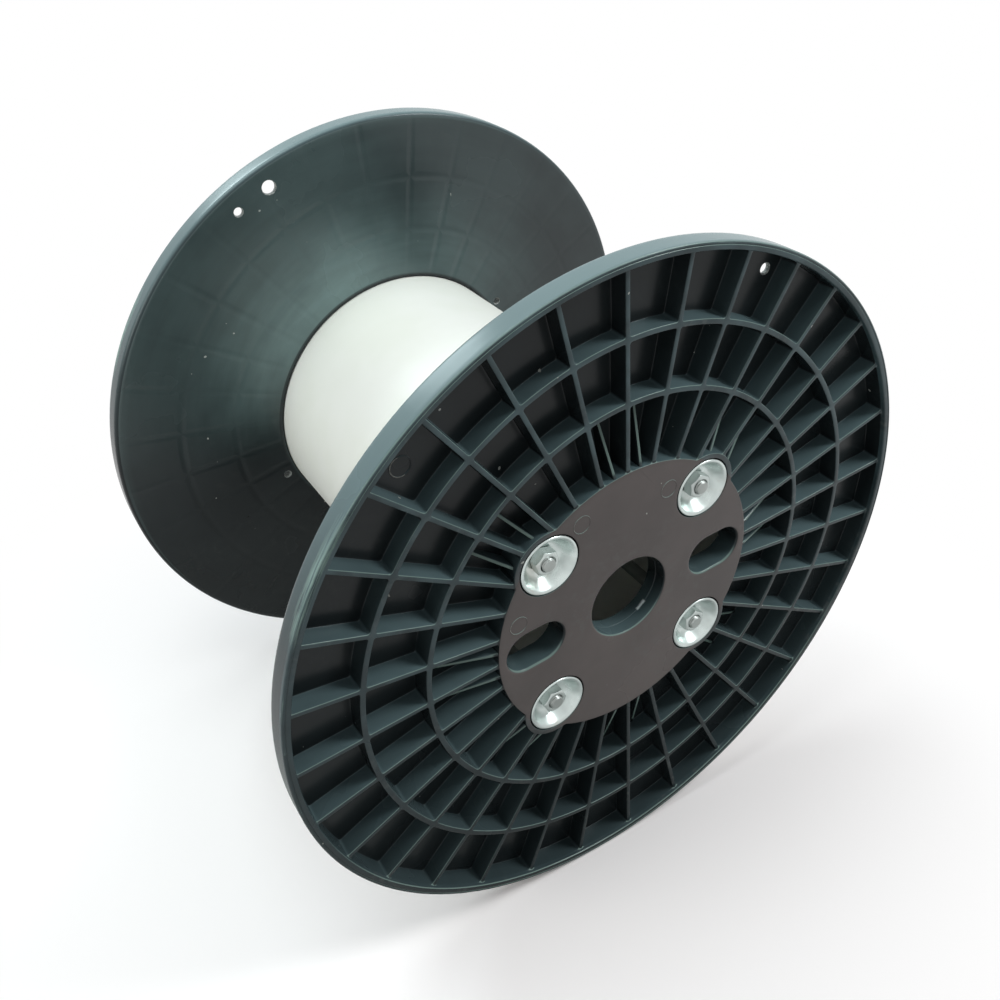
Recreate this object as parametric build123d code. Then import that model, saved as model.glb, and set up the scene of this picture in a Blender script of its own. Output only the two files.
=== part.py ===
from build123d import *
from math import asin, cos, degrees, radians, sin, sqrt
import os

# Cable spool lying on its two rims, axis along Y, front flange towards -Y, floor at Z = 0.

# overall
flange_radius = 250
overall_width = 350
turn = 5.8

# flange rim and ribs, depths counted from the outer rim face
rim_thickness = 17.5
rim_wall = 6.0
rib_recess = 3.0
cell_depth = 15.5
cell_step = 1.5
rib_count = 32
rib_wall = 3.2
ring_wall = 3.8
hub_row = 49.7
row_share = 0.493
hub_thickness = 28

# hub disc
hub_radius = 104.4
hub_recess = 2.4
hub_depth = 17.0
bore_radius = 30.5
edge_step = 0.4

# drive slots, one each side of the bore
slot_pitch_radius = 75.8
slot_length = 44
slot_width = 30

# gusset ribs beside every fourth radial rib
gusset_every = 4
gusset_wall = 2.4
gusset_foot = 0.5
gusset_root = 2.0

# barrel tube and its seat in each flange
barrel_radius = 112.5
barrel_wall = 5.5
seat_depth = 4.0
seat_clearance = 0.5
ledge_margin = 3.0

# tie rods with a nut and a cup washer at each end
rod_count = 4
rod_first_angle = 45
rod_radius = 5.0
rod_gap = 14.0
rod_hole_clearance = 0.5
rod_end_recess = 2.0
cup_radius = 21.5
cup_clearance = 0.8
lobe_wall = 3.7
cup_sheet = 1.5
cup_rise = 0.5
cup_depth = 10.0
nut_flats = 16
nut_height = 8.0
nut_hole_clearance = 0.1

# drilled holes: angle in the front view and hole radius
cable_hole_inset = 17.2
front_cable_holes = ((65.0, 3.5),)
back_cable_holes = ((116.2, 5.5), (123.6, 3.5))
tie_hole_offset = 10.3
back_tie_holes = ((202.2, 3.0), (33.5, 3.0))

rib_pitch = 360 / rib_count
rib_top = -rib_recess
cell_floors = [-cell_depth - k * cell_step for k in range(3)]
hub_face = -hub_recess
hub_under = hub_face - hub_depth
seat_outer = barrel_radius + seat_clearance
barrel_bore = barrel_radius - barrel_wall
ledge_radius = min(barrel_bore, hub_radius) - ledge_margin
seat_floor = -hub_thickness + seat_depth
rim_bore = flange_radius - rim_wall
inner_ring_radius = hub_radius + hub_row
outer_ring_radius = inner_ring_radius + row_share * (rim_bore - inner_ring_radius)
cup_top = hub_face + cup_rise
cup_floor = cup_top - cup_depth
cup_under = cup_floor - cup_sheet
pocket_radius = cup_radius + cup_clearance
lobe_radius = pocket_radius + lobe_wall
rod_hole = rod_radius + rod_hole_clearance
rod_pitch_radius = barrel_bore - rod_gap - rod_radius
rod_angles = [rod_first_angle + 360 / rod_count * k for k in range(rod_count)]
cable_hole_radius = flange_radius - cable_hole_inset
tie_hole_radius = barrel_radius + tie_hole_offset


def polar(radius, angle):
    return (radius * cos(radians(angle)), radius * sin(radians(angle)))


def around(radius, angle, shape):
    return Rot(0, 0, angle) * Pos(radius, 0, 0) * shape


def cell(inner, outer):
    """One straight-sided pocket between two radial ribs and two ring walls, as a flat face."""
    near = degrees(asin(rib_wall / 2 / inner))
    far = degrees(asin(rib_wall / 2 / outer))
    corners = [
        polar(inner, near),
        polar(outer, far),
        polar(outer, rib_pitch - far),
        polar(inner, rib_pitch - near),
    ]
    return make_face(Polyline(*corners, close=True))


def cells(inner, outer):
    face = cell(inner, outer)
    return Sketch() + [Rot(0, 0, k * rib_pitch) * face for k in range(rib_count)]


def revolved(points):
    """Turn a closed radius-height outline about Z."""
    return revolve(Plane.XZ * make_face(Polyline(*points, close=True)), Axis.Z)


def lobes(radius):
    return [around(rod_pitch_radius, angle, Circle(radius)) for angle in rod_angles]


def flange(holes):
    """Ribbed flange with its outer rim face at Z = 0, pattern angle 0 along the slots."""
    outline = [
        (bore_radius, hub_face),
        (hub_radius, hub_face),
        (hub_radius, rib_top),
        (rim_bore, rib_top),
        (rim_bore, 0),
        (flange_radius, 0),
        (flange_radius, -rim_thickness),
        (seat_outer, -hub_thickness),
        (seat_outer, seat_floor),
        (ledge_radius, seat_floor),
        (ledge_radius, hub_under),
        (bore_radius, hub_under),
    ]
    body = revolved(outline)

    # raised lobes round the tie rods
    raised = Sketch() + lobes(lobe_radius - edge_step)
    body += extrude(Plane.XY.offset(hub_face) * raised, hub_under - hub_face)

    # the three rows of cells, each row a little deeper towards the hub
    half = ring_wall / 2
    hub_corner = (hub_radius + edge_step) / cos(radians(rib_pitch / 2))
    rows = [
        cells(outer_ring_radius + half, rim_bore - edge_step),
        cells(inner_ring_radius + half, outer_ring_radius - half),
        cells(hub_corner, inner_ring_radius - half) - lobes(lobe_radius),
    ]
    for row, floor in zip(rows, cell_floors):
        body -= extrude(Plane.XY.offset(floor) * row, -floor)

    # gussets running down from the hub to the foot of the inner ring wall
    foot = cell_floors[-1]
    triangle = make_face(
        Polyline(
            (hub_radius - gusset_root, foot),
            (inner_ring_radius, foot),
            (inner_ring_radius - half, foot + gusset_foot),
            (hub_radius, rib_top),
            (hub_radius - gusset_root, rib_top),
            close=True,
        )
    )
    gusset = extrude(Plane.XZ * triangle, gusset_wall / 2, both=True)
    for k in range(rib_count // gusset_every):
        for side in (-0.5, 0.5):
            body += Rot(0, 0, (k * gusset_every + side) * rib_pitch) * gusset

    # drive slots
    slot = SlotOverall(slot_length, slot_width)
    slots = Sketch() + [around(slot_pitch_radius, a, slot) for a in (0, 180)]
    body -= extrude(Plane.XY.offset(hub_face + 1) * slots, -hub_thickness - 2)

    # pockets of the cup washers, with the tie rod holes in their floors
    pocket = revolved(
        [
            (0, hub_face + 1),
            (pocket_radius, hub_face + 1),
            (pocket_radius, cup_under),
            (rod_hole, cup_under),
            (rod_hole, -hub_thickness - 1),
            (0, -hub_thickness - 1),
        ]
    )
    for angle in rod_angles:
        body -= around(rod_pitch_radius, angle, pocket)

    for radius, angle, size in holes:
        body -= around(radius, angle, Cylinder(size, 2 * hub_thickness))
    return body


def cup_washer():
    """Pressed cup with a holed floor, standing on the floor of its pocket in the hub."""
    return revolved(
        [
            (rod_hole, cup_under),
            (cup_radius, cup_under),
            (cup_radius, cup_top),
            (cup_radius - cup_sheet, cup_top),
            (cup_radius - cup_sheet, cup_floor),
            (rod_hole, cup_floor),
        ]
    )


def nut():
    hexagon = RegularPolygon(nut_flats / sqrt(3), 6) - Circle(rod_radius + nut_hole_clearance)
    return extrude(Plane.XY.offset(cup_floor) * hexagon, nut_height)


def to_front(shape):
    return Pos(0, -overall_width / 2, flange_radius) * Rot(90, 0, 0) * Rot(0, 0, turn) * shape


def to_back(shape):
    seen = Rot(0, 0, 180) * Rot(90, 0, 0) * Rot(0, 0, -turn) * shape
    return Pos(0, overall_width / 2, flange_radius) * seen


def drilled(radius, holes, front):
    """Place holes, given by their angle in the front view, in the flange's own pattern."""
    if front:
        return [(radius, angle - turn, size) for angle, size in holes]
    return [(radius, 180 - angle + turn, size) for angle, size in holes]


front_holes = drilled(cable_hole_radius, front_cable_holes, True)
back_holes = drilled(cable_hole_radius, back_cable_holes, False)
back_holes += drilled(tie_hole_radius, back_tie_holes, False)

os.makedirs("parts", exist_ok=True)
pieces = {}
pieces["flange_front"] = to_front(flange(front_holes))
pieces["flange_back"] = to_back(flange(back_holes))

barrel_length = overall_width + 2 * seat_floor
tube = Circle(barrel_radius) - Circle(barrel_radius - barrel_wall)
barrel = extrude(tube, barrel_length / 2, both=True)
pieces["barrel"] = Pos(0, 0, flange_radius) * Rot(90, 0, 0) * barrel

washer_shape = cup_washer()
nut_shape = nut()
rod_shape = Cylinder(rod_radius, overall_width - 2 * rod_end_recess)
for number, angle in enumerate(rod_angles, 1):
    x, z = polar(rod_pitch_radius, turn + angle)
    pieces[f"tie_rod_{number}"] = Pos(x, 0, flange_radius + z) * Rot(90, 0, 0) * rod_shape
    for side, place, seen in (("front", to_front, angle), ("back", to_back, 180 - angle)):
        washer = around(rod_pitch_radius, seen, washer_shape)
        pieces[f"cup_washer_{side}_{number}"] = place(washer)
        pieces[f"nut_{side}_{number}"] = place(around(rod_pitch_radius, seen, nut_shape))

for name, piece in pieces.items():
    solid = piece.solid()
    solid.label = name
    export_step(solid, f"parts/{name}.step")
    print(name, round(solid.volume / 1000, 1), "cm3")
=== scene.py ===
from math import asin, cos, pi, radians, sin, sqrt, tan

import bmesh
import bpy
from mathutils import Matrix, Vector


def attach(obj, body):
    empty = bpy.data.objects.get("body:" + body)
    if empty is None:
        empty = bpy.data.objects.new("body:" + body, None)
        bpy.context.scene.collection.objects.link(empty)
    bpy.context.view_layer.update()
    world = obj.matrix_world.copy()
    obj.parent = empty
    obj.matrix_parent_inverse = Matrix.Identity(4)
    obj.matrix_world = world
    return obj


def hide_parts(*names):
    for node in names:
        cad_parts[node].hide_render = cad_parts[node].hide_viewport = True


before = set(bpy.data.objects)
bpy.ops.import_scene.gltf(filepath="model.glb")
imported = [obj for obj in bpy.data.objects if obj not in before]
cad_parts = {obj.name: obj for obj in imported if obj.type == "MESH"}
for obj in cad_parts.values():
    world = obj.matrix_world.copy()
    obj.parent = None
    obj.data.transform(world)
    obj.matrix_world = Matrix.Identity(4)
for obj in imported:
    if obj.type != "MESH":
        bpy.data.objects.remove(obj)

scene = bpy.context.scene
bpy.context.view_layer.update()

# the two ends of the spool, shapes are drawn in mm with the outer rim face at z = 0
spool = {"halfWidth": 175.0, "axisHeight": 250.0, "turn": radians(5.8)}
mm = 0.001
toMetres = Matrix.Scale(mm, 4)
quarterTurn = Matrix.Rotation(pi / 2, 4, "X")
frontEnd = (
    toMetres
    @ Matrix.Translation((0, -spool["halfWidth"], spool["axisHeight"]))
    @ quarterTurn
    @ Matrix.Rotation(spool["turn"], 4, "Z")
)
backEnd = (
    toMetres
    @ Matrix.Translation((0, spool["halfWidth"], spool["axisHeight"]))
    @ Matrix.Rotation(pi, 4, "Z")
    @ quarterTurn
    @ Matrix.Rotation(-spool["turn"], 4, "Z")
)
sharpAngle = radians(32)
roundSteps = (pi / 8, pi / 4, 3 * pi / 8, pi / 2)  # stops along a rounded edge


# small mesh helpers
def polar(radius, angle):
    return Vector((radius * cos(angle), radius * sin(angle)))


def at(point, z):
    return Vector((point[0], point[1], z))


def meshFrom(bm, name):
    mesh = bpy.data.meshes.new(name)
    bm.to_mesh(mesh)
    bm.free()
    return mesh


def objectFrom(mesh, name):
    obj = bpy.data.objects.new(name, mesh)
    scene.collection.objects.link(obj)
    return obj


def evaluatedMesh(obj):
    graph = bpy.context.evaluated_depsgraph_get()
    return bpy.data.meshes.new_from_object(obj.evaluated_get(graph))


def openEdges(bm):
    return sum(1 for edge in bm.edges if not edge.is_manifold)


def stackLoops(bm, loops, close=True):
    rows = [[bm.verts.new(p) for p in loop] for loop in loops]
    count = len(rows[0])
    for low, high in zip(rows, rows[1:]):
        for i in range(count if close else count - 1):
            j = (i + 1) % count
            bm.faces.new((low[i], low[j], high[j], high[i]))
    return rows


def cappedStack(bm, loops):
    # a flat face on the first and on the last loop
    rows = stackLoops(bm, loops)
    bm.faces.new(rows[0])
    bm.faces.new(rows[-1])


def closedStack(bm, loops):
    # the last loop joins the first one again
    rows = stackLoops(bm, loops)
    count = len(rows[0])
    for i in range(count):
        j = (i + 1) % count
        bm.faces.new((rows[-1][i], rows[-1][j], rows[0][j], rows[0][i]))


def ringLoops(profile, steps, x=0.0, y=0.0):
    loops = []
    for radius, z in profile:
        circle = [polar(radius, 2 * pi * k / steps) for k in range(steps)]
        loops.append([Vector((x + p.x, y + p.y, z)) for p in circle])
    return loops


def settle(mesh, place):
    mesh.transform(place)
    for face in mesh.polygons:
        face.use_smooth = True
    mesh.set_sharp_from_angle(angle=sharpAngle)
    mesh.update()


# Geometry Nodes: copies round the spool's axis
def copiesTree():
    tree = bpy.data.node_groups.new("copiesRoundAxis", "GeometryNodeTree")
    sockets = tree.interface
    sockets.new_socket("Geometry", in_out="INPUT", socket_type="NodeSocketGeometry")
    for name, kind, value in (
        ("Copies", "NodeSocketInt", 32),
        ("First Angle", "NodeSocketFloat", 0.0),
        ("Pitch Radius", "NodeSocketFloat", 0.0),
        ("Loose Turn", "NodeSocketFloat", 0.0),
        ("Seed", "NodeSocketInt", 4),
        ("Weld", "NodeSocketFloat", 0.02),
    ):
        socket = sockets.new_socket(name, in_out="INPUT", socket_type=kind)
        socket.default_value = value
    sockets.new_socket("Material", in_out="INPUT", socket_type="NodeSocketMaterial")
    sockets.new_socket("Geometry", in_out="OUTPUT", socket_type="NodeSocketGeometry")
    nodes, links = tree.nodes, tree.links
    given = nodes.new("NodeGroupInput")
    result = nodes.new("NodeGroupOutput")

    def maths(operation, first, second=None):
        node = nodes.new("ShaderNodeMath")
        node.operation = operation
        for socket, value in zip(node.inputs, (first, second)):
            if isinstance(value, (int, float)):
                socket.default_value = value
            elif value is not None:
                links.new(value, socket)
        return node.outputs[0]

    # one point for each copy
    index = nodes.new("GeometryNodeInputIndex").outputs[0]
    step = maths("DIVIDE", 2 * pi, given.outputs["Copies"])
    angle = maths("ADD", maths("MULTIPLY", index, step), given.outputs["First Angle"])
    where = nodes.new("ShaderNodeCombineXYZ")
    for axis, operation in (("X", "COSINE"), ("Y", "SINE")):
        reach = maths("MULTIPLY", maths(operation, angle), given.outputs["Pitch Radius"])
        links.new(reach, where.inputs[axis])
    points = nodes.new("GeometryNodePoints")
    links.new(given.outputs["Copies"], points.inputs["Count"])
    links.new(where.outputs[0], points.inputs["Position"])

    # each copy faces away from the axis, give or take a loose turn
    loose = nodes.new("FunctionNodeRandomValue")
    loose.data_type = "FLOAT"
    loose.inputs[2].default_value = -1.0
    loose.inputs[3].default_value = 1.0
    links.new(index, loose.inputs["ID"])
    links.new(given.outputs["Seed"], loose.inputs["Seed"])
    spin = maths("ADD", angle, maths("MULTIPLY", loose.outputs[1], given.outputs["Loose Turn"]))
    facing = nodes.new("FunctionNodeAxisAngleToRotation")
    facing.inputs["Axis"].default_value = (0, 0, 1)
    links.new(spin, facing.inputs["Angle"])

    copies = nodes.new("GeometryNodeInstanceOnPoints")
    links.new(points.outputs[0], copies.inputs["Points"])
    links.new(given.outputs["Geometry"], copies.inputs["Instance"])
    links.new(facing.outputs[0], copies.inputs["Rotation"])
    solid = nodes.new("GeometryNodeRealizeInstances")
    links.new(copies.outputs[0], solid.inputs["Geometry"])
    weld = nodes.new("GeometryNodeMergeByDistance")
    links.new(solid.outputs[0], weld.inputs["Geometry"])
    links.new(given.outputs["Weld"], weld.inputs["Distance"])
    finish = nodes.new("GeometryNodeSetMaterial")
    links.new(weld.outputs[0], finish.inputs["Geometry"])
    links.new(given.outputs["Material"], finish.inputs["Material"])
    links.new(finish.outputs[0], result.inputs["Geometry"])
    return tree


roundAxis = copiesTree()


def copiesOf(bm, name, material, **sizes):
    # run the tree on one drawn shape and keep the result as a plain mesh
    carrier = objectFrom(meshFrom(bm, name), name)
    modifier = carrier.modifiers.new("copies", "NODES")
    modifier.node_group = roundAxis
    sockets = roundAxis.interface.items_tree
    inputs = {s.name: s.identifier for s in sockets if s.in_out == "INPUT"}
    for size, value in sizes.items():
        modifier[inputs[size]] = value
    modifier[inputs["Material"]] = material
    mesh = evaluatedMesh(carrier)
    carrier.modifiers.remove(modifier)
    source = carrier.data
    bpy.data.objects.remove(carrier)
    bpy.data.meshes.remove(source)
    return mesh


# material helpers
class Finish:
    def __init__(self, name):
        self.material = bpy.data.materials.new(name)
        self.material.use_nodes = True
        self.nodes = self.material.node_tree.nodes
        self.links = self.material.node_tree.links
        self.shader = self.nodes["Principled BSDF"]
        self.place = self.nodes.new("ShaderNodeTexCoord").outputs["Object"]

    def feed(self, socket, value):
        if hasattr(value, "is_output"):
            self.links.new(value, socket)
        elif value is not None:
            socket.default_value = value

    def maths(self, operation, first, second=None):
        node = self.nodes.new("ShaderNodeMath")
        node.operation = operation
        self.feed(node.inputs[0], first)
        self.feed(node.inputs[1], second)
        return node.outputs[0]

    def times(self, *factors):
        product = factors[0]
        for factor in factors[1:]:
            product = self.maths("MULTIPLY", product, factor)
        return product

    def ramp(self, value, low, high, start=0.0, end=1.0):
        node = self.nodes.new("ShaderNodeMapRange")
        node.interpolation_type = "SMOOTHSTEP"
        sockets = ("From Min", "From Max", "To Min", "To Max")
        for socket, number in zip(sockets, (low, high, start, end)):
            node.inputs[socket].default_value = number
        self.links.new(value, node.inputs["Value"])
        return node.outputs["Result"]

    def between(self, value, rise, fall):
        return self.times(self.ramp(value, *rise), self.ramp(value, *fall))

    def mapped(self, vector, scale=(1, 1, 1), location=(0, 0, 0)):
        node = self.nodes.new("ShaderNodeMapping")
        node.inputs["Scale"].default_value = scale
        node.inputs["Location"].default_value = location
        self.links.new(vector, node.inputs["Vector"])
        return node.outputs[0]

    def fromAxis(self):
        # x, y and z counted from the middle of the spool
        return self.axes(self.mapped(self.place, location=(0, 0, -spool["axisHeight"] * mm)))

    def noise(self, vector, scale, detail=3.0, roughness=0.55):
        node = self.nodes.new("ShaderNodeTexNoise")
        node.inputs["Scale"].default_value = scale
        node.inputs["Detail"].default_value = detail
        node.inputs["Roughness"].default_value = roughness
        self.links.new(vector, node.inputs["Vector"])
        return node.outputs["Fac"]

    def mix(self, factor, first, second):
        node = self.nodes.new("ShaderNodeMix")
        node.data_type = "RGBA"
        self.feed(node.inputs["Factor"], factor)
        self.feed(node.inputs[6], first)
        self.feed(node.inputs[7], second)
        return node.outputs[2]

    def axes(self, vector):
        node = self.nodes.new("ShaderNodeSeparateXYZ")
        self.links.new(vector, node.inputs[0])
        return node.outputs

    def joined(self, x, y, z):
        node = self.nodes.new("ShaderNodeCombineXYZ")
        for socket, value in zip(node.inputs, (x, y, z)):
            self.feed(socket, value)
        return node.outputs[0]

    def bump(self, height, strength, distance, under=None):
        node = self.nodes.new("ShaderNodeBump")
        node.inputs["Strength"].default_value = strength
        node.inputs["Distance"].default_value = distance
        self.links.new(height, node.inputs["Height"])
        if under is not None:
            self.links.new(under, node.inputs["Normal"])
        return node.outputs[0]

    def dressed(self, values):
        for name, value in values.items():
            self.feed(self.shader.inputs[name], value)
        return self.material


# sizes in mm
flange = {
    "radius": 250.0, "rimBore": 244.0, "rimThickness": 17.5, "thickness": 28.0,
    "rimRound": 4.0, "rimRoundAt": -13.75, "rimLift": 0.8,
    "ribs": 32, "ribWall": 3.2, "ringWall": 3.8, "ribTop": -3.0,
    "floors": (-15.5, -17.0, -18.5), "floorBorder": 1.2,
    "outerRing": 198.42, "innerRing": 154.1,
    "edge": 0.6, "foot": 0.5, "draft": 0.5, "corner": 2.0, "arcSteps": 6,
    "hubRadius": 104.4, "hubFace": -2.4, "hubUnder": -19.4, "hubLift": 0.3,
    "lobe": 26.0, "boltCircle": 88.0,
    "seat": 113.0, "seatFloor": -24.0, "ledge": 101.4,
    "coneStops": (245, 240, 226, 212, 198, 184, 169, 154, 140, 127, 117),
    "bore": 30.5, "boreEdge": 1.3, "boreParting": 0.35, "partingAt": (8.7, 9.1),
    "slotAt": 75.8, "slotLength": 44.0, "slotWidth": 30.0, "slotEdge": 2.0,
    "pocket": 22.3, "pocketFloor": -13.4, "rodHole": 5.5,
    "gussetWall": 2.4, "gussetFoot": 0.5, "gussetRoots": ((102.4, 0.0), (109.6, pi / 4)),
    "ejectors": ((-36.9, 81.7), (32.8, 75.9), (-87.8, 26.5)), "ringSteps": 40,
    "weld": 0.03, "sliver": 0.01,
}
halfPitch = pi / flange["ribs"]

# colours, then where each kind of wear and of painted light begins and is full: radius from the
# axis, depth from the middle of the spool and height above its axis in metres, and how a face is
# turned
flangeLook = {
    "dark": (0.0095, 0.0125, 0.0138, 1),
    "light": (0.0145, 0.0185, 0.0200, 1),
    "hubHazeAndReflectionTone": (0.175, 0.140, 0.133, 1),
    "dust": (0.12, 0.118, 0.110, 1),
    "topLitFilmTone": (0.103, 0.152, 0.162, 1),
    "greyingAndSheenTone": (0.185, 0.270, 0.265, 1),
    "rubbed": (0.078, 0.120, 0.131, 1),
    # pale tone for real scuffs on the rim edge and for painted highlights on upper edges and fin
    # crests
    "scuffAndGlint": (0.20, 0.28, 0.25, 1),
    "speck": (0.50, 0.50, 0.46, 1),
    "flash": (0.80, 0.87, 0.87, 1),
    "bandHighlight": (0.185, 0.246, 0.252, 1),
    "topLitFilmUp": (-0.1, 1.0), "topLitFilmHeight": (-0.21, 0.0, 0.42, 1.0),
    "smoothTurn": (-0.90, -0.96), "smoothRadius": (0.1134, 0.1140),
    "sheenUp": (-0.03, 0.085, 0.0, 0.5), "sheenLean": (0.06, 0.107, 0.0, 0.5),
    "sheenRadius": (0.118, 0.21, 1.0, 0.30),
    "hubRadius": (0.118, 0.100), "hubDepth": (0.1722, 0.1725),
    "dustDepth": (0.1705, 0.1722, 0.05, 0.45),
    "crestDepth": (0.1712, 0.1719), "crestRadius": (0.1055, 0.1062),
    "crestLightHeight": (-0.18, 0.20, 0.18, 1.0),
    "edgeHighlightTurn": ((0.25, 0.5), (0.97, 0.86)), "edgeHighlightUp": (0.2, 0.6),
    "edgeHighlightDepth": (0.1695, 0.1702), "edgeHighlightShare": 0.8,
    "finGlintDepth": ((0.1585, 0.1600), (0.1713, 0.1706)), "finGlintTurn": (0.55, 0.8),
    "finGlintRadius": ((0.100, 0.103), (0.152, 0.149)), "finGlintShare": 0.7,
    "edgeRadius": (0.2476, 0.2492), "edgeDepth": (0.171, 0.1738),
    "knockedAngle": ((2.50, 2.60), (2.86, 2.76)),
    "knockedRadius": (0.2464, 0.2478), "knockedDepth": (0.167, 0.1715),
    "flashDepth": 0.1634, "flashWave": (0.3, 0.7, -0.0005, 0.0005),
    "flashWidth": (0.0015, 0.0004), "flashRadius": (0.0322, 0.0316),
    "flashAngle": ((-1.01, -0.97), (-0.70, -0.74)),
    "bandHighlightRadius": (0.2482, 0.2494), "bandHighlightUp": (0.25, 1.0), "bandHighlightShare": 0.7,
    "speckFrom": (0.886, 0.898), "speckShare": 0.8,
    "sinkWidth": (0.0, 0.0045, -1.0, 0.0), "sinkStrength": 0.45, "sinkDepth": 0.0004,
    "roughness": (0.22, 0.28), "wornRoughness": 0.25, "gloss": (0.20, 0.40),
}


def flangeFinish():
    f, look = Finish("flangePlastic"), flangeLook
    x, y, z = f.fromAxis()
    radius = f.maths("SQRT", f.maths("ADD", f.times(x, x), f.times(z, z)))
    angle = f.maths("ARCTAN2", z, x)
    depth = f.maths("ABSOLUTE", y)
    around = f.joined(f.times(angle, flange["radius"] * mm), radius, y)
    facing = f.axes(f.nodes.new("ShaderNodeNewGeometry").outputs["Normal"])
    upward = facing[2]
    outward = f.times(facing[1], f.maths("SIGN", y))

    # flow marks and handling haze
    cloud = f.noise(f.place, 9.0, 4.0)
    flow = f.noise(f.mapped(around, (10, 90, 60)), 1.0, 4.0)
    colour = f.mix(f.ramp(cloud, 0.35, 0.68), look["dark"], look["light"])

    # thin film of dust on the faces that look up, with painted top light making them paler, and
    # painted shade making it fade lower down
    topLitFilm = f.times(
        f.ramp(upward, *look["topLitFilmUp"]),
        f.ramp(cloud, 0.3, 0.7, 0.65, 0.95),
        f.ramp(z, *look["topLitFilmHeight"]),
    )
    colour = f.mix(topLitFilm, colour, look["topLitFilmTone"])

    # smooth side greyed by the turns of cable, with a painted sheen where it leans up and to the
    # left near the barrel, standing in for the barrel's reflection and top light
    smoothSide = f.times(
        f.ramp(outward, *look["smoothTurn"]), f.ramp(radius, *look["smoothRadius"])
    )
    sheenTilt = f.maths("SUBTRACT", upward, facing[0])
    sheenFacing = f.maths(
        "ADD", f.ramp(upward, *look["sheenUp"]), f.ramp(sheenTilt, *look["sheenLean"])
    )
    greyingAndSheen = f.times(
        smoothSide,
        sheenFacing,
        f.ramp(cloud, 0.3, 0.7, 0.6, 1.0),
        f.ramp(radius, *look["sheenRadius"]),
        f.ramp(flow, 0.25, 0.75, 0.8, 1.0),
    )
    colour = f.mix(greyingAndSheen, colour, look["greyingAndSheenTone"])

    # greyed hub face, with a painted reflection of the floor in its warm tone
    hubHazeAndReflection = f.times(
        f.ramp(radius, *look["hubRadius"]),
        f.ramp(depth, *look["hubDepth"]),
        f.ramp(cloud, 0.2, 0.8, 0.45, 0.75),
    )
    colour = f.mix(hubHazeAndReflection, colour, look["hubHazeAndReflectionTone"])

    # fine dust, more of it near the outer faces
    grit = f.noise(f.place, 140.0, 3.0, 0.6)
    patch = f.noise(f.place, 16.0, 3.0)
    dusty = f.times(
        f.ramp(grit, 0.46, 0.74), f.ramp(patch, 0.42, 0.66), f.ramp(depth, *look["dustDepth"])
    )
    colour = f.mix(dusty, colour, look["dust"])

    # rib tops and rim face paled by handling, and paler still on the upper half as painted top
    # light
    blotch = f.noise(f.mapped(around, (22, 40, 40)), 1.0, 2.0)
    crestWearAndLight = f.times(
        f.ramp(depth, *look["crestDepth"]),
        f.ramp(radius, *look["crestRadius"]),
        f.ramp(blotch, 0.3, 0.7, 0.35, 0.8),
        f.ramp(z, *look["crestLightHeight"]),
    )
    colour = f.mix(crestWearAndLight, colour, look["rubbed"])

    # painted highlight along the upper edges of ribs, slots and hub, on the edges that face up
    edgeHighlight = f.times(
        f.between(outward, *look["edgeHighlightTurn"]),
        f.ramp(upward, *look["edgeHighlightUp"]),
        f.ramp(depth, *look["edgeHighlightDepth"]),
        look["edgeHighlightShare"],
    )
    colour = f.mix(edgeHighlight, colour, look["scuffAndGlint"])

    # painted glint on the crests of the fins beside the hub
    finGlint = f.times(
        f.between(depth, *look["finGlintDepth"]),
        f.between(radius, *look["finGlintRadius"]),
        f.ramp(outward, *look["finGlintTurn"]),
        look["finGlintShare"],
    )
    colour = f.mix(finGlint, colour, look["scuffAndGlint"])

    # rubbed outer edge of the rim, with one stretch knocked harder
    rubbing = f.noise(f.mapped(around, (26, 700, 700)), 1.0, 5.0, 0.65)
    worn = f.times(
        f.ramp(rubbing, 0.50, 0.68),
        f.ramp(blotch, 0.50, 0.66),
        f.ramp(radius, *look["edgeRadius"]),
        f.ramp(depth, *look["edgeDepth"]),
    )
    knocked = f.times(
        f.between(angle, *look["knockedAngle"]),
        f.ramp(rubbing, 0.40, 0.60),
        f.ramp(radius, *look["knockedRadius"]),
        f.ramp(depth, *look["knockedDepth"]),
    )
    worn = f.maths("MAXIMUM", worn, knocked)
    colour = f.mix(worn, colour, look["scuffAndGlint"])

    # pale flash left on the parting line of the front bore
    wave = f.ramp(rubbing, *look["flashWave"])
    offLine = f.maths("ABSOLUTE", f.maths("ADD", f.maths("ADD", y, look["flashDepth"]), wave))
    flash = f.times(
        f.ramp(offLine, *look["flashWidth"]),
        f.ramp(radius, *look["flashRadius"]),
        f.between(angle, *look["flashAngle"]),
    )
    colour = f.mix(flash, colour, look["flash"])

    # sink lines on the smooth side, over the ribs and ring walls
    pitch = 2 * halfPitch
    turned = f.maths("SUBTRACT", angle, spool["turn"] - 4 * pi)  # kept above zero
    cell = f.maths("FRACT", f.maths("DIVIDE", turned, pitch))
    offRib = f.maths("SUBTRACT", 0.5, f.maths("ABSOLUTE", f.maths("SUBTRACT", cell, 0.5)))
    nearest = f.times(offRib, pitch, radius)
    for ring in ("outerRing", "innerRing"):
        offRing = f.maths("ABSOLUTE", f.maths("SUBTRACT", radius, flange[ring] * mm))
        nearest = f.maths("MINIMUM", nearest, offRing)
    sink = f.times(f.ramp(nearest, *look["sinkWidth"]), smoothSide)

    # painted highlight on the top of the rim's outer band
    bandHighlight = f.times(
        f.ramp(radius, *look["bandHighlightRadius"]), f.ramp(upward, *look["bandHighlightUp"]), look["bandHighlightShare"]
    )
    colour = f.mix(bandHighlight, colour, look["bandHighlight"])

    # a few pale specks
    speck = f.ramp(f.noise(f.place, 200.0, 0.0), *look["speckFrom"])
    colour = f.mix(f.times(speck, look["speckShare"]), colour, look["speck"])

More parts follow.
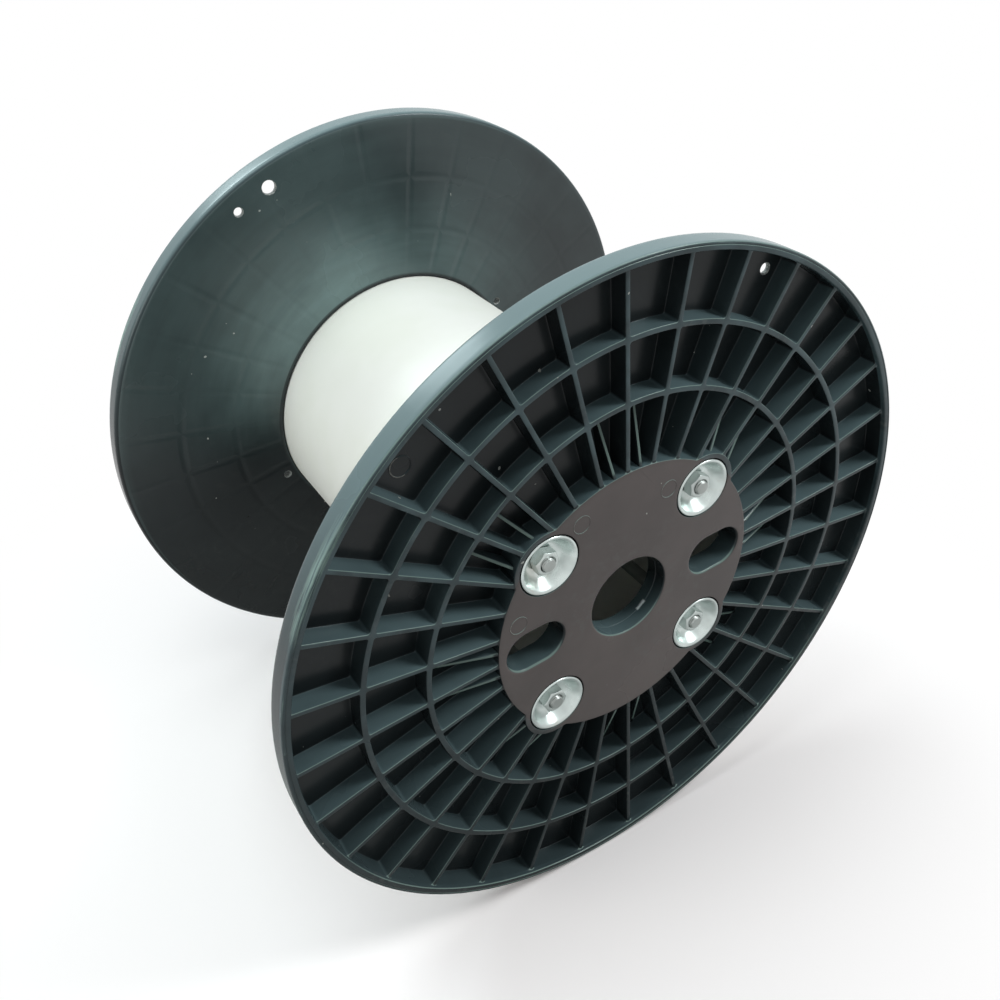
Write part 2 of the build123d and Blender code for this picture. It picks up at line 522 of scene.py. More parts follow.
    rough = f.ramp(cloud, 0.3, 0.7, *look["roughness"])
    rough = f.maths("ADD", rough, f.times(worn, look["wornRoughness"]))
    return f.dressed({
        "Base Color": colour,
        "Roughness": rough,
        "Normal": f.bump(sink, look["sinkStrength"], look["sinkDepth"]),
        "Specular IOR Level": f.ramp(smoothSide, 0.0, 1.0, *look["gloss"]),
    })


# dark and pale tone of torn plastic on drilled holes and on burrs
tornLook = {
    "drilledEdge": ((0.10, 0.11, 0.11, 1), (0.42, 0.43, 0.41, 1)),
    "burrEdge": ((0.09, 0.09, 0.085, 1), (0.24, 0.23, 0.21, 1)),
}


def tornFinish(name):
    f = Finish(name)
    torn = f.noise(f.place, 900.0, 4.0)
    colour = f.mix(f.ramp(torn, 0.35, 0.65), *tornLook[name])
    normal = f.bump(torn, 0.6, 0.0004)
    return f.dressed({"Base Color": colour, "Roughness": 0.7, "Normal": normal})


barrelLook = {
    "white": (0.87, 0.86, 0.81, 1),
    "cream": (0.82, 0.82, 0.75, 1),
    "mark": (0.55, 0.54, 0.48, 1),
    "markShare": 0.22,
    "roughness": (0.38, 0.50),
}


def barrelFinish():
    f, look = Finish("barrelPlastic"), barrelLook
    x, y, z = f.fromAxis()
    along = f.joined(f.times(f.maths("ARCTAN2", z, x), 0.11), y, 0.0)
    cloud = f.noise(f.place, 12.0, 3.0)
    colour = f.mix(f.ramp(cloud, 0.35, 0.7), look["white"], look["cream"])

    # faint marks where cable rubbed
    rubbed = f.noise(f.mapped(along, (14, 420, 1)), 1.0, 4.0, 0.6)
    patch = f.noise(f.place, 22.0, 2.0)
    marks = f.times(f.ramp(rubbed, 0.62, 0.72), f.ramp(patch, 0.5, 0.68), look["markShare"])
    colour = f.mix(marks, colour, look["mark"])

    # drawing lines and a slow wave in the tube
    drawn = f.noise(f.mapped(along, (900, 5, 1)), 1.0, 2.0)
    normal = f.bump(drawn, 0.10, 0.0003)
    normal = f.bump(f.noise(f.place, 20.0, 2.0), 0.10, 0.001, normal)
    rough = f.ramp(cloud, 0.3, 0.7, *look["roughness"])
    return f.dressed({"Base Color": colour, "Roughness": rough, "Normal": normal})


# tones, then how much painted shade each kind gets and how rough it is
zincLook = {
    "bright": (0.61, 0.68, 0.66, 1),
    "dull": (0.47, 0.52, 0.505, 1),
    "stain": (0.44, 0.41, 0.35, 1),
    "paintedShade": (0.20, 0.20, 0.19, 1),
    "zincPlate": (0.0, 0.24),
    "zincNut": (0.2, 0.24),
    "zincThread": (0.6, 0.34),
    "roughSpan": 0.14,
}


def zincFinish(name):
    f, look = Finish(name), zincLook
    paintedShadeShare, smoothest = look[name]
    cloud = f.noise(f.place, 40.0, 3.0)
    colour = f.mix(f.ramp(cloud, 0.35, 0.65), look["bright"], look["dull"])
    stain = f.noise(f.place, 46.0, 4.0, 0.6)
    colour = f.mix(f.ramp(stain, 0.56, 0.72, 0.0, 0.4), colour, look["stain"])
    # nuts and rod ends get a share of painted shade over the same zinc
    colour = f.mix(paintedShadeShare, colour, look["paintedShade"])
    brushed = f.noise(f.mapped(f.place, (500, 500, 2600)), 1.0, 2.0)
    return f.dressed({
        "Base Color": colour,
        "Roughness": f.ramp(cloud, 0.3, 0.7, smoothest, smoothest + look["roughSpan"]),
        "Normal": f.bump(brushed, 0.05, 0.0002),
        "Metallic": 1.0,
    })


flangePlastic = flangeFinish()
drilledEdge = tornFinish("drilledEdge")
burrEdge = tornFinish("burrEdge")
barrelPlastic = barrelFinish()
zincPlate = zincFinish("zincPlate")
zincNut = zincFinish("zincNut")
zincThread = zincFinish("zincThread")
print("finishes ready")


def hubEdge(angle):
    # hub disc with a lobe round each tie rod
    off = angle % (pi / 2) - pi / 4
    reach = flange["lobe"] ** 2 - (flange["boltCircle"] * sin(off)) ** 2
    if reach <= 0:
        return flange["hubRadius"]
    return max(flange["hubRadius"], flange["boltCircle"] * cos(off) + sqrt(reach))


cornerPoints, cornerTip = 5, 2  # points of a cell's corner, and which of them is its tip


def roundedCorner(start, corner, end, sharp):
    if sharp:
        return [start, (start + corner) / 2, corner, (corner + end) / 2, end]
    steps = [k / (cornerPoints - 1) for k in range(cornerPoints)]
    return [start * (1 - t) ** 2 + corner * 2 * t * (1 - t) + end * t * t for t in steps]


def cellLoop(mid, inner, outer, ribInset, innerInset, outerInset, sharp=False):
    # one loop of a cell between two ribs, counter-clockwise from outside
    cut, steps = flange["corner"], flange["arcSteps"]
    far = outer - outerInset

    def near(angle):
        return inner(angle) + innerInset

    def side(sign, radius):
        return polar(radius, mid + sign * (halfPitch - asin(ribInset / radius)))

    def reach(sign):
        turn = halfPitch
        for again in range(3):
            turn = halfPitch - asin(ribInset / near(mid + sign * turn))
        return turn

    def arc(radiusAt, first, last):
        angles = [first + (last - first) * k / steps for k in range(1, steps)]
        return [polar(radiusAt(a), a) for a in angles]

    # along the outer wall
    top = halfPitch - asin(ribInset / far)
    low, high, cutFar = mid - top, mid + top, cut / far
    points = roundedCorner(
        side(-1, far - cut), polar(far, low), polar(far, low + cutFar), sharp
    )
    points += arc(lambda a: far, low + cutFar, high - cutFar)
    points += roundedCorner(
        polar(far, high - cutFar), polar(far, high), side(1, far - cut), sharp
    )
    # and back along the inner one
    high, low = mid + reach(1), mid - reach(-1)
    atHigh, atLow = near(high), near(low)
    fromHigh, toLow = high - cut / atHigh, low + cut / atLow
    points += roundedCorner(
        side(1, atHigh + cut), polar(atHigh, high), polar(near(fromHigh), fromHigh), sharp
    )
    points += arc(near, fromHigh, toLow)
    points += roundedCorner(
        polar(near(toLow), toLow), polar(atLow, low), side(-1, atLow + cut), sharp
    )
    return points


def tipToTip(start):
    # a cell loop's points from the tip of a corner, along the arc, to the next tip
    return range(start, start + cornerPoints + flange["arcSteps"])


outerSpan = tipToTip(cornerTip)
innerSpan = tipToTip(cornerTip + 2 * cornerPoints + flange["arcSteps"] - 1)


def addCell(bm, mid, inner, outer, floor, outerWall=None, innerWall=None):
    # rounded rib tops, drafted walls, a fillet at the foot and a flat floor
    top, edge, foot, draft = flange["ribTop"], flange["edge"], flange["foot"], flange["draft"]
    steps = [(-edge, top)]
    for a in (pi / 6, pi / 3, pi / 2):
        steps.append((-edge + edge * sin(a), top - edge * (1 - cos(a))))
    steps.append((draft, floor + foot))
    for a in roundSteps:
        steps.append((draft + foot * (1 - cos(a)), floor + foot * (1 - sin(a))))
    steps.append((draft + foot + flange["floorBorder"], floor))

    # the border rises where it meets the rim or the hub
    border = cellLoop(mid, inner, outer, 0.0, 0.0, 0.0, sharp=True)
    lifts = [0.0] * len(border)
    for span, lift in ((outerSpan, outerWall), (innerSpan, innerWall)):
        if lift is None:
            continue
        for k in span:
            lifts[k] = lift
        lifts[span[0] - 1] = lifts[(span[-1] + 1) % len(lifts)] = lift / 3
    loops = [[at(p, top + lift) for p, lift in zip(border, lifts)]]
    for k, (inset, z) in enumerate(steps):
        creep = 0.02 * (k + 1)  # keeps the loops of a plain wall apart
        ribInset = flange["ribWall"] / 2 + inset
        ringInset = flange["ringWall"] / 2 + inset
        innerInset = ringInset if innerWall is None else max(inset, creep)
        outerInset = ringInset if outerWall is None else max(inset, creep)
        loop = cellLoop(mid, inner, outer, ribInset, innerInset, outerInset)
        loops.append([at(p, z) for p in loop])
    rows = stackLoops(bm, loops)
    bm.faces.new(rows[-1])
    return border


def coneDepth(radius):
    share = (flange["radius"] - radius) / (flange["radius"] - flange["seat"])
    return -flange["rimThickness"] - (flange["thickness"] - flange["rimThickness"]) * share


def rimToSeat():
    # section over the rim, down the smooth side and into the barrel seat
    r, bore = flange["radius"], flange["rimBore"]
    section = [(bore, flange["ribTop"] + flange["rimLift"]), (bore + 0.05, -1.1)]
    section += [(bore + 0.2, -0.5), (bore + 0.55, -0.12), (bore + 1.1, 0)]
    # a fine groove in the rim face, then its rounded outer edge
    section += [(r - 3.1, 0), (r - 2.7, -0.05), (r - 2.45, -0.35), (r - 1.95, -0.42)]
    section += [(r - 1.6, -0.12), (r - 1.3, -0.06), (r - 0.8, -0.18), (r - 0.35, -0.5)]
    section += [(r - 0.08, -1.0), (r, -1.7), (r, -4.0), (r, -9.0), (r, -13.0)]
    inside, steps = flange["rimRound"], 7
    for k in range(1, steps + 1):
        a = k * radians(86) / steps
        section.append((r - inside + inside * cos(a), flange["rimRoundAt"] - inside * sin(a)))
    section += [(radius, coneDepth(radius)) for radius in flange["coneStops"]]
    # the seat and the ledge under the hub
    seat, floor = flange["seat"], flange["seatFloor"]
    ledge, under = flange["ledge"], flange["hubUnder"]
    section += [(seat + 0.9, coneDepth(seat + 0.9)), (seat + 0.2, coneDepth(seat) + 0.2)]
    section += [(seat, -27.2), (seat, -24.6), (seat - 0.5, floor), (ledge + 0.5, floor)]
    section += [(ledge, -23.5), (ledge, under - 0.5), (ledge - 0.5, under), (ledge - 2.0, under)]
    return section


def sectorShape():
    # one rib's share of the two outer rows, the rim and the smooth side
    bm = bmesh.new()
    outerRing, innerRing, floors = flange["outerRing"], flange["innerRing"], flange["floors"]
    border = addCell(
        bm, halfPitch, lambda a: outerRing, flange["rimBore"], floors[0],
        outerWall=flange["rimLift"],
    )
    addCell(bm, halfPitch, lambda a: innerRing, outerRing, floors[1])
    facing = [border[k].normalized() for k in outerSpan]
    loops = [[at(d * radius, z) for d in facing] for radius, z in rimToSeat()]
    stackLoops(bm, loops, close=False)
    return bm


def hubRowShape():
    # a quarter of the row of cells next to the hub, with the hub's rounded edge
    bm = bmesh.new()
    face, lift = flange["hubFace"], flange["hubLift"]
    lip = [(0.0, flange["ribTop"] + lift), (0.06, face - 0.16), (0.2, face - 0.05)]
    lip += [(0.45, face), (1.6, face)]
    for k in range(flange["ribs"] // 4):
        mid = (2 * k + 1) * halfPitch
        border = addCell(
            bm, mid, hubEdge, flange["innerRing"], flange["floors"][2], innerWall=lift
        )
        edge = [border[i] for i in innerSpan]
        loops = [[at(p * (1 - back / p.length), z) for p in edge] for back, z in lip]
        stackLoops(bm, loops, close=False)
    return bm


def slotOutline(x, grow, steps=24):
    reach = (flange["slotLength"] - flange["slotWidth"]) / 2
    radius = flange["slotWidth"] / 2 + grow
    points = []
    for sign in (1, -1):
        for k in range(steps + 1):
            a = -pi / 2 + pi * k / steps
            along = x + sign * (reach + radius * cos(a))
            points.append(Vector((along, sign * radius * sin(a))))
    return points


def markBurrAndGlint(bm, done, strips, first, last):
    # burr colour on part of a ring that was just drawn, also standing in for a painted highlight
    # on that side
    bm.faces.ensure_lookup_table()
    for strip in strips:
        for k in range(first, last):
            bm.faces[done + strip * flange["ringSteps"] + k].material_index = 1


def hubHoles():
    bm = bmesh.new()
    face, under = flange["hubFace"], flange["hubUnder"]

    def throughSteps(edge, parting=0.0):
        start = edge + parting
        steps = [(start + 1.2, face), (start, face)]
        steps += [(start - edge * sin(a), face - edge * (1 - cos(a))) for a in roundSteps]
        if parting:
            upper, lower = flange["partingAt"]
            steps += [(parting, face - upper), (0.0, face - lower)]
        return steps + [(0.0, under + 0.7), (0.2, under + 0.2), (0.7, under), (1.8, under)]

    # the bore has a small step where the two halves of its mould met
    boreSteps = throughSteps(flange["boreEdge"], flange["boreParting"])
    stackLoops(bm, ringLoops([(flange["bore"] + grow, z) for grow, z in boreSteps], 96))
    slotSteps = throughSteps(flange["slotEdge"])
    for x in (flange["slotAt"], -flange["slotAt"]):
        stackLoops(bm, [[at(p, z) for p in slotOutline(x, grow)] for grow, z in slotSteps])

    # pockets of the cup washers with the rod holes in their floors
    pocket, floor, hole = flange["pocket"], flange["pocketFloor"], flange["rodHole"]
    section = [(pocket + 1.4, face), (pocket + 0.5, face), (pocket + 0.2, face - 0.08)]
    section += [(pocket, face - 0.45), (pocket, floor + 0.8), (pocket - 0.25, floor + 0.2)]
    section += [(pocket - 0.8, floor), (hole + 1.5, floor), (hole + 0.3, floor)]
    section += [(hole, floor - 0.3), (hole, under + 0.4), (hole + 0.4, under)]
    section += [(hole + 1.6, under)]
    for k in range(4):
        spot = polar(flange["boltCircle"], pi / 4 + k * pi / 2)
        stackLoops(bm, ringLoops(section, 72, spot.x, spot.y))

    # witness rings of the ejector pins, pale along part of their crest as burr and painted
    # highlight
    ring = [(7.4, face), (6.8, face), (6.6, face + 0.2)]
    ring += [(6.2, face + 0.2), (6.0, face), (5.6, face)]
    for x, y in flange["ejectors"]:
        done = len(bm.faces)
        rows = stackLoops(bm, ringLoops(ring, flange["ringSteps"], x, y))
        bm.faces.new(rows[-1])
        markBurrAndGlint(bm, done, (2,), 10, 34)
    return bm


def gussetPair(root):
    # two thin fins, half a cell either side of a rib, running down from the hub
    bm = bmesh.new()
    half, floor = flange["gussetWall"] / 2, flange["floors"][2]
    foot, endTop = floor - flange["gussetFoot"], floor + flange["gussetFoot"]
    start, end = flange["hubRadius"], flange["innerRing"] - flange["ringWall"] / 2
    slope = (endTop - flange["ribTop"]) / (end - start)
    startTop = flange["ribTop"] + slope * (root - start)
    section = [(-half - 0.2, 0.0), (-half + 0.05, 0.93), (-half + 0.35, 0.985), (0.0, 1.0)]
    section += [(-y, up) for y, up in reversed(section[:-1])]
    for sign in (-1, 1):
        turn = Matrix.Rotation(sign * halfPitch, 4, "Z")
        loops = []
        for radius, top in ((root, startTop), (end + 1.2, endTop)):
            height = top - foot
            loops.append([turn @ Vector((radius, y, foot + height * up)) for y, up in section])
        cappedStack(bm, loops)
    bmesh.ops.recalc_face_normals(bm, faces=bm.faces)
    return bm


def flangeBody():
    whole = [
        copiesOf(sectorShape(), "flangeSector", flangePlastic, Copies=flange["ribs"]),
        copiesOf(hubRowShape(), "flangeHubRow", flangePlastic, Copies=4),
        meshFrom(hubHoles(), "flangeHubHoles"),
    ]
    for mesh in whole[:2]:
        for face in mesh.polygons:
            face.material_index = 0
    joined = bmesh.new()
    for mesh in whole:
        joined.from_mesh(mesh)
        bpy.data.meshes.remove(mesh)
    bmesh.ops.remove_doubles(joined, verts=joined.verts, dist=flange["weld"])

    # flat hub faces between the edges drawn so far
    for level in (flange["hubFace"], flange["hubUnder"]):
        rim = [
            edge for edge in joined.edges
            if edge.is_boundary and all(abs(v.co.z - level) < 0.001 for v in edge.verts)
        ]
        bmesh.ops.triangle_fill(joined, edges=rim, use_beauty=True, normal=(0, 0, 1))
    bmesh.ops.recalc_face_normals(joined, faces=joined.faces)
    print("flange body", len(joined.faces), "faces", openEdges(joined), "open edges")
    mesh = meshFrom(joined, "flangeBody")
    mesh.materials.append(flangePlastic)
    mesh.materials.append(burrEdge)
    return mesh


def drillTools(holes):
    # drills with a small flare where they leave the floor and the smooth side
    bm = bmesh.new()
    for radius, angle, size, floor in holes:
        spot = polar(radius, angle)
        under = coneDepth(radius)
        section = [(size + 0.75, floor + 0.6), (size + 0.75, floor), (size, floor - 0.75)]
        section += [(size, under + 0.6), (size + 0.6, under), (size + 0.65, under - 0.8)]
        cappedStack(bm, ringLoops(section, flange["ringSteps"], spot.x, spot.y))
    bmesh.ops.recalc_face_normals(bm, faces=bm.faces)
    mesh = meshFrom(bm, "drills")
    mesh.materials.append(drilledEdge)
    return mesh


def addOns(pinMarks):
    # gussets, and raised rings left by ejector pins on cell floors
    bm = bmesh.new()
    for root, first in flange["gussetRoots"]:
        sizes = {"Copies": 4, "First Angle": first}
        mesh = copiesOf(gussetPair(root), "gussets", flangePlastic, **sizes)
        for face in mesh.polygons:
            face.material_index = 0
        bm.from_mesh(mesh)
        bpy.data.meshes.remove(mesh)
    for radius, angle, floor in pinMarks:
        spot = polar(radius, angle)
        ring = [(7.0, floor - 0.2), (6.85, floor + 0.3), (6.5, floor + 0.45)]
        ring += [(6.15, floor + 0.3), (6.0, floor - 0.2)]
        done = len(bm.faces)
        closedStack(bm, ringLoops(ring, flange["ringSteps"], spot.x, spot.y))
        # pale arc of burr and painted highlight on one side of the ring
        markBurrAndGlint(bm, done, (1, 2), 11, 32)
    bmesh.ops.recalc_face_normals(bm, faces=bm.faces)
    mesh = meshFrom(bm, "gussets")
    mesh.materials.append(flangePlastic)
    mesh.materials.append(burrEdge)
    return mesh


def finishedFlange(name, body, place, holes, pinMarks):
    obj = objectFrom(body.copy(), name)
    tools = [
        objectFrom(addOns(pinMarks), name + "Fins"),
        objectFrom(drillTools(holes), name + "Drills"),
    ]
    for tool, operation in zip(tools, ("UNION", "DIFFERENCE")):
        cut = obj.modifiers.new(operation.lower(), "BOOLEAN")
        cut.operation = operation
        cut.solver = "MANIFOLD"
        cut.object = tool
        cut.material_mode = "TRANSFER"
    mesh = evaluatedMesh(obj)
    obj.modifiers.clear()
    for tool in tools:
        bpy.data.objects.remove(tool)

    # slivers left by the cuts
    clean = bmesh.new()
    clean.from_mesh(mesh)
    bmesh.ops.dissolve_degenerate(clean, dist=flange["sliver"], edges=clean.edges)
    loose = openEdges(clean)
    clean.to_mesh(mesh)
    clean.free()
    obj.data = mesh
    settle(mesh, place)
    burrs = sum(1 for face in mesh.polygons if face.material_index == 1)
    print(name, len(mesh.polygons), "faces", burrs, "of them burrs", loose, "open edges")
    return obj


# drilled holes: distance from the axis, angle in the front view in degrees, radius and
# the row of cells they start in; the pin mark: distance and angle, in the outer row
holePlan = {
    "front": [(232.8, 65.0, 3.5, 0)],
    "back": [
        (232.8, 116.2, 5.5, 0), (232.8, 123.6, 3.5, 0),
        (122.8, 202.2, 3.0, 2), (122.8, 33.5, 3.0, 2),
    ],
    "pinMark": (224.1, 136.4),
}


def frontAngle(degrees):
    return radians(degrees) - spool["turn"]


def backAngle(degrees):
    return pi - radians(degrees) + spool["turn"]


def holesOn(side, turned):
    floors = flange["floors"]
    return [(r, turned(angle), size, floors[row]) for r, angle, size, row in holePlan[side]]


body = flangeBody()
markRadius, markAngle = holePlan["pinMark"]
pinMarks = [(markRadius, frontAngle(markAngle), flange["floors"][0])]
flangeFront = finishedFlange("flangeFront", body, frontEnd, holesOn("front", frontAngle), pinMarks)
flangeBack = finishedFlange("flangeBack", body, backEnd, holesOn("back", backAngle), pinMarks)
print("flanges ready")

barrel = {"radius": 112.5, "wall": 5.5, "from": -24.0, "to": -326.0, "parts": 8, "steps": 256}


def barrelShape():
    bm = bmesh.new()
    out, bore = barrel["radius"], barrel["radius"] - barrel["wall"]
    a, b, parts = barrel["from"], barrel["to"], barrel["parts"]
    section = [(bore, a - 0.6), (bore + 0.5, a), (out - 0.6, a), (out, a - 0.7)]
    section += [(out, a + (b - a) * k / parts) for k in range(1, parts)]
    section += [(out, b + 0.7), (out - 0.6, b), (bore + 0.5, b), (bore, b + 0.6)]
    section += [(bore, b + (a - b) * k / parts) for k in range(1, parts)]
    closedStack(bm, ringLoops(section, barrel["steps"]))
    bmesh.ops.recalc_face_normals(bm, faces=bm.faces)
    mesh = meshFrom(bm, "barrelTube")
    mesh.materials.append(barrelPlastic)
    settle(mesh, frontEnd)
    return objectFrom(mesh, "barrelTube")


barrelTube = barrelShape()
print("barrel ready")

# section of a cup washer: floor, sloping wall and rolled lip, then back along its underside
cup = {
    "inside": [
        (5.6, -12.2), (6.1, -11.9), (10.8, -11.9), (12.2, -11.65), (13.4, -10.9), (14.6, -9.6),
        (15.9, -7.7), (17.0, -5.8), (17.9, -4.2), (18.6, -3.1), (19.3, -2.4), (20.0, -2.0),
    ],
    "lip": [
        (20.6, -1.9), (21.1, -2.1), (21.42, -2.5), (21.5, -3.0), (21.35, -3.4), (20.95, -3.6),
    ],
    "underside": [
        (20.4, -3.6), (19.8, -4.0), (19.2, -5.0), (18.2, -6.9), (17.0, -8.9), (15.7, -10.8),
        (14.4, -12.2), (13.0, -13.05), (11.4, -13.4), (6.1, -13.4), (5.6, -13.1),
    ],
    "steps": 72,
}


def cupShape():
    bm = bmesh.new()
    closedStack(bm, ringLoops(cup["inside"] + cup["lip"] + cup["underside"], cup["steps"]))
    bmesh.ops.recalc_face_normals(bm, faces=bm.faces)
    return bm


nut = {"flats": 16.0, "hole": 5.1, "top": -3.9, "bottom": -11.9, "steps": 72}


def nutShape():
    # hexagon with turned chamfers and a countersunk thread hole
    bm = bmesh.new()
    flats, hole, steps = nut["flats"], nut["hole"], nut["steps"]
    top, bottom = nut["top"], nut["bottom"]
    flat, chamfer = flats * 0.46, flats * 0.475

    def hexLoop(z, cone, inset):
        loop = []
        for k in range(steps):
            a = 2 * pi * k / steps
            radius = flats / 2 / cos((a + pi / 6) % (pi / 3) - pi / 6)
            drop = max(0.0, radius - chamfer) * tan(pi / 6)
            loop.append(at(polar(radius - inset, a), z - drop * cone))
        return loop

    upper = [(hole, bottom + 0.9), (hole, top - 0.8), (hole + 0.75, top - 0.02)]
    upper += [(hole + 1.0, top), (flat, top), (chamfer, top - 0.02)]
    loops = ringLoops(upper, steps)
    loops += [hexLoop(top, 1.0, 0.12), hexLoop(top - 0.15, 1.0, 0.0)]
    loops += [hexLoop(bottom + 0.15, -1.0, 0.0), hexLoop(bottom, -1.0, 0.12)]
    loops += ringLoops([(chamfer, bottom + 0.02), (flat, bottom), (hole + 0.9, bottom)], steps)
    closedStack(bm, loops)
    bmesh.ops.recalc_face_normals(bm, faces=bm.faces)
    return bm


rod = {
    "start": -2.0, "end": -348.0, "crown": 4.98, "root": 4.25, "tip": 4.2, "tipSlope": 0.9,
    "pitch": 1.5, "threaded": 18.0, "runOut": 3.0, "steps": 28, "turnSteps": 5,
}


def rodShape():
    # plain rod with a cut thread at both ends
    bm = bmesh.new()
    start, end, steps, pitch = rod["start"], rod["end"], rod["steps"], rod["pitch"]
    heights = [start]
    while heights[-1] > start - rod["threaded"]:
        heights.append(heights[-1] - pitch / rod["turnSteps"])
    heights += [start - rod["threaded"] - 2.0, (start + end) / 2]
    heights += [start + end - z for z in reversed(heights[:-1])]
    loops = []
    for z in heights:
        fromEnd = min(start - z, z - end)
        cutDepth = min(1.0, max(0.0, (rod["threaded"] + 1.0 - fromEnd) / rod["runOut"]))
        loop = []
        for k in range(steps):
            groove = abs(2 * ((z / pitch + k / steps) % 1.0) - 1)
            radius = rod["crown"] - (rod["crown"] - rod["root"]) * groove * cutDepth
            radius = min(radius, rod["tip"] + fromEnd * rod["tipSlope"])
            loop.append(at(polar(radius, 2 * pi * k / steps), z))
        loops.append(loop)
    cappedStack(bm, loops)
    bmesh.ops.recalc_face_normals(bm, faces=bm.faces)
    return bm


fasteners = {
    "Copies": 4, "Pitch Radius": flange["boltCircle"], "First Angle": pi / 4, "Weld": 0.004,
}
looseNuts = {"turn": 0.5, "frontSeed": 7, "backSeed": 11}


def fastenerSet(name, bm, material, place, looseTurn=0.0, seed=4):
    loose = {"Loose Turn": looseTurn, "Seed": seed}
    mesh = copiesOf(bm, name, material, **fasteners, **loose)
    settle(mesh, place)
    return objectFrom(mesh, name)


def nutSet(name, place, seed):
    return fastenerSet(name, nutShape(), zincNut, place, looseNuts["turn"], seed)


cupsFront = fastenerSet("cupWashersFront", cupShape(), zincPlate, frontEnd)
cupsBack = fastenerSet("cupWashersBack", cupShape(), zincPlate, backEnd)
nutsFront = nutSet("nutsFront", frontEnd, looseNuts["frontSeed"])
nutsBack = nutSet("nutsBack", backEnd, looseNuts["backSeed"])
tieRods = fastenerSet("tieRods", rodShape(), zincThread, frontEnd)
print("fasteners ready")


def numbered(name):
    return [f"{name}_{k}" for k in range(1, fasteners["Copies"] + 1)]


# what each piece stands for
pieces = {
    flangeFront: (["flange_front"], "flange_plastic"),
    flangeBack: (["flange_back"], "flange_plastic"),
    barrelTube: (["barrel"], "barrel_plastic"),
    cupsFront: (numbered("cup_washer_front"), "zinc_plated_steel"),
    cupsBack: (numbered("cup_washer_back"), "zinc_plated_steel"),
    nutsFront: (numbered("nut_front"), "zinc_plated_steel"),
    nutsBack: (numbered("nut_back"), "zinc_plated_steel"),
    tieRods: (numbered("tie_rod"), "zinc_plated_steel"),
}
for piece, (nodes, slot) in pieces.items():
    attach(piece, "root")
    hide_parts(*nodes)
print("pieces placed")

studio = {
    "floorSize": 16.0, "floorLevel": -0.0006,
    "floorTone": (0.55, 0.545, 0.53, 1), "floorSeen": (0.99, 0.925, 0.915, 1),
    "fade": (0.24, 0.58, 0.05, 1.0),  # distance where the white begins and is full
    "world": 0.30, "worldTone": (0.93, 0.98, 1.0, 1),
    # power, size, place, aim and colour
    "lamps": {
        "topLamp": (22.0, 1.4, (-0.6, 0.15, 2.3), (0, 0, 0.2), (0.88, 0.98, 1.0)),
        "backLamp": (26.0, 0.9, (-0.6, 1.9, 1.8), (0, 0, 0.3), (0.82, 0.97, 1.0)),
        "sideLamp": (12.5, 1.0, (-1.9, 0.05, 0.85), (0, 0, 0.25), (0.97, 1.0, 0.97)),
        "keyLamp": (27.0, 0.8, (1.3, -0.9, 1.9), (0, 0, 0.25), (0.94, 0.99, 1.0)),
    },
}


def whereSeen(nodes, links):
    # 1 on what the camera sees, directly or mirrored in a shiny face
    path = nodes.new("ShaderNodeLightPath")
    seen = nodes.new("ShaderNodeMath")
    seen.operation = "MAXIMUM"
    links.new(path.outputs["Is Camera Ray"], seen.inputs[0])
    links.new(path.outputs["Is Glossy Ray"], seen.inputs[1])
    return path, seen


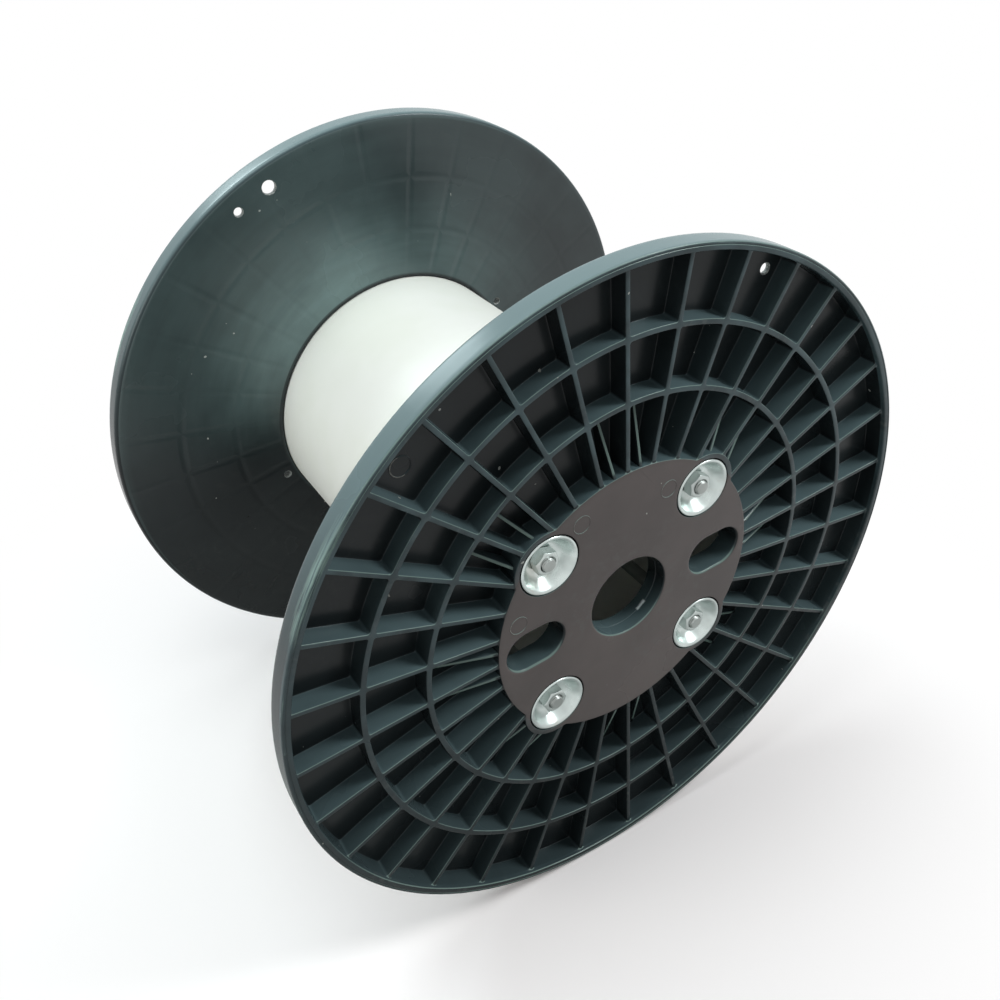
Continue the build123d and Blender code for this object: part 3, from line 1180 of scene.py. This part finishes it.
def studioFloor():
    bm = bmesh.new()
    half, level = studio["floorSize"] / 2, studio["floorLevel"]
    corners = ((-half, -half), (half, -half), (half, half), (-half, half))
    bm.faces.new([bm.verts.new((x, y, level)) for x, y in corners])
    obj = objectFrom(meshFrom(bm, "studioFloor"), "studioFloor")
    material = bpy.data.materials.new("paleFloor")
    material.use_nodes = True
    nodes, links = material.node_tree.nodes, material.node_tree.links
    shader = nodes["Principled BSDF"]
    shader.inputs["Roughness"].default_value = 0.8
    shader.inputs["Specular IOR Level"].default_value = 0.0
    path, seen = whereSeen(nodes, links)
    tone = nodes.new("ShaderNodeMix")
    tone.data_type = "RGBA"
    tone.inputs[6].default_value = studio["floorTone"]
    tone.inputs[7].default_value = studio["floorSeen"]
    links.new(path.outputs["Is Camera Ray"], tone.inputs["Factor"])
    links.new(tone.outputs[2], shader.inputs["Base Color"])

    # away from the spool the floor turns into a white backdrop
    glow = nodes.new("ShaderNodeEmission")
    glow.inputs["Strength"].default_value = 1.0
    place = nodes.new("ShaderNodeTexCoord")
    away = nodes.new("ShaderNodeVectorMath")
    away.operation = "LENGTH"
    links.new(place.outputs["Object"], away.inputs[0])
    fade = nodes.new("ShaderNodeMapRange")
    fade.interpolation_type = "SMOOTHSTEP"
    for socket, number in zip(("From Min", "From Max", "To Min", "To Max"), studio["fade"]):
        fade.inputs[socket].default_value = number
    links.new(away.outputs["Value"], fade.inputs["Value"])
    share = nodes.new("ShaderNodeMath")
    share.operation = "MULTIPLY"
    links.new(seen.outputs[0], share.inputs[0])
    links.new(fade.outputs["Result"], share.inputs[1])
    blend = nodes.new("ShaderNodeMixShader")
    links.new(share.outputs[0], blend.inputs[0])
    links.new(shader.outputs[0], blend.inputs[1])
    links.new(glow.outputs[0], blend.inputs[2])
    links.new(blend.outputs[0], nodes["Material Output"].inputs["Surface"])
    obj.data.materials.append(material)


def studioWorld():
    world = bpy.data.worlds.new("studioWorld")
    scene.world = world
    world.use_nodes = True
    nodes, links = world.node_tree.nodes, world.node_tree.links
    light = nodes["Background"]
    light.inputs["Color"].default_value = studio["worldTone"]
    light.inputs["Strength"].default_value = studio["world"]
    white = nodes.new("ShaderNodeBackground")
    white.inputs["Color"].default_value = (1, 1, 1, 1)
    white.inputs["Strength"].default_value = 1.0
    path, seen = whereSeen(nodes, links)
    blend = nodes.new("ShaderNodeMixShader")
    links.new(seen.outputs[0], blend.inputs[0])
    links.new(light.outputs[0], blend.inputs[1])
    links.new(white.outputs[0], blend.inputs[2])
    links.new(blend.outputs[0], nodes["World Output"].inputs["Surface"])


def softLamp(name, power, size, place, aim, colour):
    data = bpy.data.lights.new(name, "AREA")
    data.energy = power
    data.shape = "DISK"
    data.size = size
    data.color = colour
    obj = bpy.data.objects.new(name, data)
    obj.location = place
    obj.rotation_euler = (Vector(aim) - Vector(place)).to_track_quat("-Z", "Y").to_euler()
    scene.collection.objects.link(obj)


studioFloor()
studioWorld()
for lamp, setting in studio["lamps"].items():
    softLamp(lamp, *setting)

view = {
    "location": (-0.3732, -0.5670, 0.7120), "tilt": 60.77, "heading": -31.58,
    "lens": 37.0, "sensor": 36, "shift": (0.0369, -0.1174),
}
cameraData = bpy.data.cameras.new("photoView")
cameraData.lens = view["lens"]
cameraData.sensor_width = view["sensor"]
cameraData.shift_x, cameraData.shift_y = view["shift"]
camera = bpy.data.objects.new("photoView", cameraData)
camera.location = view["location"]
camera.rotation_euler = (radians(view["tilt"]), 0, radians(view["heading"]))
scene.collection.objects.link(camera)
scene.camera = camera
scene.view_settings.view_transform = "Standard"
print("studio ready")
